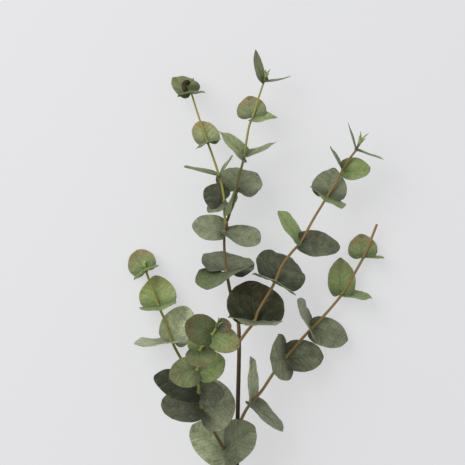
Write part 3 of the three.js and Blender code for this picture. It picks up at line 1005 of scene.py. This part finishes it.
def capped(samples):
    """Draws both ends of a line of samples in to a point, so that the tube is closed."""
    def end(sample, share, out):
        place = sample["point"] + sample["direction"] * out
        return {**sample, "point": place, "girth": sample["girth"] * share, "cut": 1.0}

    line = [{**sample, "cut": 0.0} for sample in samples]
    first, last = samples[0], samples[-1]
    foot = [end(first, share, -out) for share, out in CAP]
    tip = [end(last, share, out) for share, out in reversed(CAP)]
    line[0]["point"] = first["point"] + first["direction"] * CAP_INSET
    line[-1]["point"] = last["point"] - last["direction"] * CAP_INSET
    return foot + line + tip


def line_seed(name, samples):
    edges = [(index, index + 1) for index in range(len(samples) - 1)]
    attributes = {
        "stem_girth": [sample["girth"] * MM for sample in samples],
        "stem_age": [sample["age"] for sample in samples],
        "stem_ring": [sample["ring"] for sample in samples],
        "stem_run": [sample["run"] * MM for sample in samples],
        "stem_cut": [sample["cut"] for sample in samples],
    }
    return seed_mesh(name, [in_frame(sample["point"]) for sample in samples], edges, attributes)


def grow_stem(stem, settings, tree, material):
    name = f"{stem['name']}_bark"
    seed = line_seed(name, capped(stem_samples(stem, settings.steps)))
    inputs = {
        "Sides": settings.sides,
        "Swelling": settings.swelling,
        "Ridge Depth": settings.ridge_depth,
        "Material": material,
    }
    mesh = grown(name, seed, tree, inputs)
    place_piece(name, [mesh], f"{stem['name']}_stem", stem["bark"])


def clasp_samples(place, direction, radius):
    """A short thick ring round the stem, where the two leaves of a pair join."""
    samples = []
    for step in range(CLASP_STEPS + 1):
        share = step / CLASP_STEPS
        bulge = math.sin(math.pi * share) ** 0.5
        samples.append({
            "point": place + direction * (share - 0.5) * CLASP_LENGTH,
            "direction": direction,
            "girth": radius + CLASP_CLEARANCE + CLASP_BULGE * bulge,
            "age": 0.1,
            "ring": 0.0,
            "run": share * CLASP_LENGTH,
        })
    return samples


def grow_pair(stem, number, leaves, trees, materials):
    at, *blades = stem["pairs"][number]
    name = f"{stem['name']}_pair_{number + 1}"
    cubics = list(spans(stem["route"]))
    t = at / len(cubics)
    place, direction = route_point(cubics, t)
    foot, tip = stem["radii"]
    radius = foot + (tip - foot) * t
    seed = leaf_points(name, blades, [in_frame(place)] * len(blades))
    blade_mesh = grown(name, seed, trees["leaf"], leaf_inputs(leaves, materials[stem["leaves"]]))
    ring_seed = line_seed(name, capped(clasp_samples(place, direction, radius)))
    ring = {**CLASP_RING, "Material": materials["clasp"]}
    ring_mesh = grown(name, ring_seed, trees["stem"], ring)
    node = f"{stem['name']}_leaves_{number + 1}"
    place_piece(name, [blade_mesh, ring_mesh], node, stem["leaves"])


def bud_samples(foot, direction, length, radius):
    """A spindle that swells from its foot and draws to a point."""
    samples = []
    for step in range(BUD_STEPS + 1):
        share = step / BUD_STEPS
        fullness = BUD_FOOT + (1 - BUD_FOOT) * math.sin(math.pi * min(share * BUD_SHOULDER, 1.0))
        girth = radius * fullness * (1 - share ** BUD_TAPER)
        samples.append({
            "point": foot + direction * length * share,
            "direction": direction,
            "girth": girth + BUD_POINT,
            "age": 0.0,
            "ring": 0.0,
            "run": length * share,
        })
    return samples


def bud_scales(direction, length, radius):
    """The youngest leaves, still narrow and folded up round the growing tip in crossed pairs."""
    side = direction.orthogonal().normalized()
    scales = []
    for number, (turn, splay, size) in enumerate(SCALES):
        out = Matrix.Rotation(math.radians(turn), 3, direction) @ side
        lean = math.radians(splay)
        along = (direction * math.cos(lean) + out * math.sin(lean)).normalized()
        across = out.cross(along).normalized()
        basis = Matrix((along, across, along.cross(across))).transposed()
        blade = leaf(0, 0, 0, length * size, radius * SCALE_WIDTH, **SCALE_LOOK)
        blade["turn"] = basis.to_euler()
        drop = direction * INNER_DROP * (number > 1)
        scales.append((blade, out * radius * SCALE_SPREAD - drop))
    return scales


def grow_bud(stem, leaves, buds, trees, materials):
    length, radius, young = stem["bud"]
    name = f"{stem['name']}_tip"
    cubics = list(spans(stem["route"]))
    end, direction = route_point(cubics, 1.0)
    foot = end + direction * GAP * BUD_FOOT_GAP
    spindle_seed = line_seed(name, capped(bud_samples(foot, direction, length * buds.core, radius)))
    spindle = {**BUD_CORE, "Material": materials["bud"]}
    meshes = [grown(name, spindle_seed, trees["stem"], spindle)]
    scales = bud_scales(direction, length, radius)
    blades = [blade for blade, _ in scales] + young
    at = foot + direction * YOUNG_LEAVES * length
    places = [in_frame(foot + offset) for _, offset in scales] + [in_frame(at)] * len(young)
    seed = leaf_points(name, blades, places)
    inputs = {**leaf_inputs(leaves, materials["young_leaf"]), **YOUNG_BLADE}
    meshes.insert(0, grown(name, seed, trees["leaf"], inputs))
    place_piece(name, meshes, f"{stem['name']}_bud", "bud")


# Stage


def make_floor(stage, height):
    half = stage.floor_size / 2
    mesh = bpy.data.meshes.new("floor")
    corners = [(-half, -half, height), (half, -half, height), (half, half, height), (-half, half, height)]
    mesh.from_pydata(corners, [], [(0, 1, 2, 3)])
    mesh.materials.append(floor_finish(stage))
    floor = bpy.data.objects.new("floor", mesh)
    bpy.context.scene.collection.objects.link(floor)
    floor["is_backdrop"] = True


def make_softbox(stage, aim):
    light = bpy.data.lights.new("softbox", "AREA")
    light.shape = "DISK"
    light.size = stage.key_size
    light.energy = stage.key_power
    away = Vector(stage.key_place)
    lamp = bpy.data.objects.new("softbox", light)
    lamp.location = aim + away
    lamp.rotation_euler = (-away).to_track_quat("-Z", "Y").to_euler()
    bpy.context.scene.collection.objects.link(lamp)


def make_sky(stage):
    world = bpy.data.worlds.new("studio")
    world.use_nodes = True
    sky = world.node_tree.nodes["Background"]
    sky.inputs["Color"].default_value = opaque(stage.sky_colour)
    sky.inputs["Strength"].default_value = stage.sky_strength
    bpy.context.scene.world = world


def make_camera(stage):
    """Looks straight down on the laid branch, from above a point over its upper half."""
    camera_data = bpy.data.cameras.new("camera")
    camera_data.lens = stage.lens
    camera = bpy.data.objects.new("camera", camera_data)
    camera.location = in_frame((stage.aim_x / MM, stage.aim_y / MM, stage.camera_height / MM))
    bpy.context.scene.collection.objects.link(camera)
    bpy.context.scene.camera = camera


# Settings


def length_setting(name, description, default, **limits):
    return FloatProperty(name=name, description=description, default=default, min=0.0,
                         unit="LENGTH", precision=5, **limits)


def share_setting(name, description, default):
    return FloatProperty(name=name, description=description, default=default, min=0.0, max=2.0)


def colour_setting(name, description, default):
    return FloatVectorProperty(name=name, description=description, default=default, size=3,
                               min=0.0, max=1.0, subtype="COLOR")


class BranchLeafSettings(bpy.types.PropertyGroup):
    """Sizes and colours of the leaves"""

    thickness: length_setting("Thickness", "Thickness of a blade", 0.0005)
    wave: length_setting("Wave", "How far the blade of a 30 mm leaf waves up and down", 0.0013)
    ragged_edge: share_setting("Ragged edge", "How uneven the rim is, as a share of the leaf", 0.034)
    midrib_depth: length_setting("Midrib depth", "Depth of the groove over the midrib", 0.00035)
    rings: IntProperty(name="Rings", description="Rings of faces on a blade", default=24, min=4)
    sectors: IntProperty(name="Sectors", description="Faces round a blade", default=96, min=12)
    gloss: share_setting("Gloss", "Strength of the skin's shine", 0.22)
    bloom_sheen: share_setting("Bloom sheen", "Strength of the waxy bloom at grazing angles", 0.05)
    # Dark green is partly the colour of old leaves and partly painted shade on leaves that face away from
    # the light.
    dark_green: colour_setting("Dark green", "Old leaves", (0.022, 0.027, 0.009))
    grey_green: colour_setting("Grey green", "Grown leaves", (0.188, 0.203, 0.126))
    fresh_green: colour_setting("Fresh green", "New leaves", (0.215, 0.300, 0.085))
    underside: colour_setting("Underside", "Lower skin", (0.250, 0.280, 0.175))
    bloom: colour_setting("Bloom", "Waxy bloom", (0.340, 0.370, 0.270))
    blush: colour_setting("Blush", "Red-brown flush of young rims", (0.230, 0.120, 0.055))
    vein: colour_setting("Veins", "Midrib and side veins", (0.360, 0.420, 0.230))
    rim: colour_setting("Rim", "Thin horny rim of a blade", (0.120, 0.115, 0.060))


class BranchStemSettings(bpy.types.PropertyGroup):
    """Sizes and colours of the stems"""

    steps: IntProperty(name="Steps", description="Rings of faces between route points", default=24, min=2)
    sides: IntProperty(name="Sides", description="Faces round a stem", default=24, min=6)
    swelling: share_setting("Node swelling", "How much thicker a stem is where leaves join it", 0.25)
    ridge_depth: share_setting("Ridge depth", "Depth of the bark's ridges, as a share of the radius", 0.07)
    gloss: share_setting("Gloss", "Strength of the bark's shine", 0.3)
    old_bark: colour_setting("Old bark", "Foot of the main stem", (0.058, 0.037, 0.019))
    young_bark: colour_setting("Young bark", "Top of the main stem", (0.300, 0.190, 0.090))
    old_tan: colour_setting("Old tan", "Foot of the tan shoots", (0.290, 0.165, 0.065))
    young_tan: colour_setting("Young tan", "End of the tan shoots", (0.400, 0.270, 0.098))
    old_olive: colour_setting("Old olive", "Foot of the green shoots", (0.120, 0.090, 0.036))
    young_olive: colour_setting("Young olive", "End of the green shoots", (0.400, 0.370, 0.090))
    pore: colour_setting("Pores", "Pale corky pores", (0.420, 0.300, 0.170))
    scar: colour_setting("Scars", "Rings where leaves joined", (0.420, 0.360, 0.140))
    cut_wood: colour_setting("Cut wood", "Wood at a cut end", (0.560, 0.450, 0.250))


class BranchBudSettings(bpy.types.PropertyGroup):
    """Sizes and colours of the growing tips"""

    core: share_setting("Core", "Length of the solid core, as a share of the tip", 0.62)
    foot: colour_setting("Foot", "Foot of a growing tip", (0.400, 0.420, 0.090))
    tip: colour_setting("Tip", "Point of a growing tip", (0.620, 0.570, 0.100))


class BranchStageSettings(bpy.types.PropertyGroup):
    """Floor, light and camera"""

    with_floor: BoolProperty(name="With floor", description="Lay the branch on a floor", default=True)
    floor_size: length_setting("Floor size", "Side of the floor", 12.0)
    floor_colour: colour_setting("Floor", "Colour of the floor", (0.350, 0.350, 0.355))
    floor_glow: share_setting("Floor glow", "Strength of the light from under the floor", 1.42)
    sky_colour: colour_setting("Surrounding light", "Colour of the light all round", (0.980, 0.985, 1.000))
    sky_strength: FloatProperty(name="Surrounding strength", description="Strength of the light all round",
                                default=0.48, min=0.0)
    key_power: FloatProperty(name="Softbox power", description="Power of the large softbox",
                             default=17.0, min=0.0, unit="POWER")
    key_size: length_setting("Softbox size", "Width of the large softbox", 1.6)
    key_place: FloatVectorProperty(name="Softbox place", description="Where it is from the branch's middle",
                                   default=(-1.1, 0.8, 1.3), size=3, subtype="TRANSLATION")
    lens: FloatProperty(name="Lens", description="Focal length in millimetres", default=126.3, min=1.0)
    camera_height: length_setting("Camera height", "Height of the camera over the branch's foot", 1.595)
    aim_x: FloatProperty(name="Aim across", description="Where the camera is, across the branch",
                         default=-0.0043, unit="LENGTH", precision=5)
    aim_y: length_setting("Aim along", "Where the camera is, along the branch from its foot", 0.3309)


class BranchSettings(bpy.types.PropertyGroup):
    """Everything that can be changed on the branch"""

    leaves: PointerProperty(type=BranchLeafSettings)
    stems: PointerProperty(type=BranchStemSettings)
    buds: PointerProperty(type=BranchBudSettings)
    stage: PointerProperty(type=BranchStageSettings)


# Operators


def named_tree(name, maker):
    return bpy.data.node_groups.get(name) or maker()


def named_material(name, maker, *arguments):
    return bpy.data.materials.get(name) or maker(name, *arguments)


def growing_trees():
    return {"leaf": named_tree("Leaves", leaf_tree), "stem": named_tree("Stem", stem_tree)}


class BRANCH_OT_stems(bpy.types.Operator):
    """Grow the woody main stem and its side shoots"""

    bl_idname = "branch.stems"
    bl_label = "Grow Stems"
    bl_options = {"REGISTER", "UNDO"}

    def execute(self, context):
        stems = context.scene.branch.stems
        tree = growing_trees()["stem"]
        barks = {
            "bark": ("main_bark", stems.old_bark, stems.young_bark),
            "tan_bark": ("tan_shoot", stems.old_tan, stems.young_tan),
            "olive_stem": ("olive_shoot", stems.old_olive, stems.young_olive),
        }
        materials = {
            slot: named_material(name, stem_finish, old, young, stems)
            for slot, (name, old, young) in barks.items()
        }
        for stem in STEMS:
            grow_stem(stem, stems, tree, materials[stem["bark"]])
        return {"FINISHED"}


class BRANCH_OT_leaves(bpy.types.Operator):
    """Grow the clasping pairs of leaves on every stem"""

    bl_idname = "branch.leaves"
    bl_label = "Grow Leaves"
    bl_options = {"REGISTER", "UNDO"}

    def execute(self, context):
        leaves = context.scene.branch.leaves
        stems = context.scene.branch.stems
        materials = {
            "grey_leaf": named_material("grown_leaf_skin", leaf_finish, leaves),
            "green_leaf": named_material("new_leaf_skin", leaf_finish, leaves),
            "clasp": named_material("clasp_skin", stem_finish, stems.old_olive, leaves.fresh_green, stems),
        }
        for stem in STEMS:
            for number in range(len(stem["pairs"])):
                grow_pair(stem, number, leaves, growing_trees(), materials)
        return {"FINISHED"}


class BRANCH_OT_buds(bpy.types.Operator):
    """Grow the soft tips at the ends of the shoots"""

    bl_idname = "branch.buds"
    bl_label = "Grow Tips"
    bl_options = {"REGISTER", "UNDO"}

    def execute(self, context):
        branch = context.scene.branch
        materials = {
            "bud": bpy.data.materials.get("bud_skin") or bud_finish(branch.buds),
            "young_leaf": named_material("new_leaf_skin", leaf_finish, branch.leaves),
        }
        for stem in STEMS:
            if "bud" in stem:
                grow_bud(stem, branch.leaves, branch.buds, growing_trees(), materials)
        return {"FINISHED"}


class BRANCH_OT_stage(bpy.types.Operator):
    """Set out the floor, the soft light and the camera"""

    bl_idname = "branch.stage"
    bl_label = "Set Stage"
    bl_options = {"REGISTER", "UNDO"}

    def execute(self, context):
        stage = context.scene.branch.stage
        context.scene.view_settings.view_transform = "Standard"
        if stage.with_floor:
            make_floor(stage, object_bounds()[0].z)
        middle = (CAD_BOX[0] + CAD_BOX[1]) / 2
        make_softbox(stage, middle)
        make_sky(stage)
        make_camera(stage)
        return {"FINISHED"}


class BRANCH_PT_panel(bpy.types.Panel):
    """The branch's steps and settings in the sidebar"""

    bl_idname = "BRANCH_PT_panel"
    bl_label = "Eucalyptus Branch"
    bl_space_type = "VIEW_3D"
    bl_region_type = "UI"
    bl_category = "Branch"

    def draw(self, context):
        branch = context.scene.branch
        for operator in OPERATORS:
            self.layout.operator(operator.bl_idname)
        for group in (branch.leaves, branch.stems, branch.buds, branch.stage):
            box = self.layout.box()
            for name in group.__annotations__:
                box.prop(group, name)


OPERATORS = (BRANCH_OT_stems, BRANCH_OT_leaves, BRANCH_OT_buds, BRANCH_OT_stage)
CLASSES = (
    BranchLeafSettings,
    BranchStemSettings,
    BranchBudSettings,
    BranchStageSettings,
    BranchSettings,
    *OPERATORS,
    BRANCH_PT_panel,
)


def register():
    for cls in CLASSES:
        bpy.utils.register_class(cls)
    bpy.types.Scene.branch = PointerProperty(type=BranchSettings)


def unregister():
    del bpy.types.Scene.branch
    for cls in reversed(CLASSES):
        bpy.utils.unregister_class(cls)


def main():
    register()
    bpy.ops.branch.stems()
    bpy.ops.branch.leaves()
    bpy.ops.branch.buds()
    bpy.ops.branch.stage()


if __name__ == "__main__":
    main()
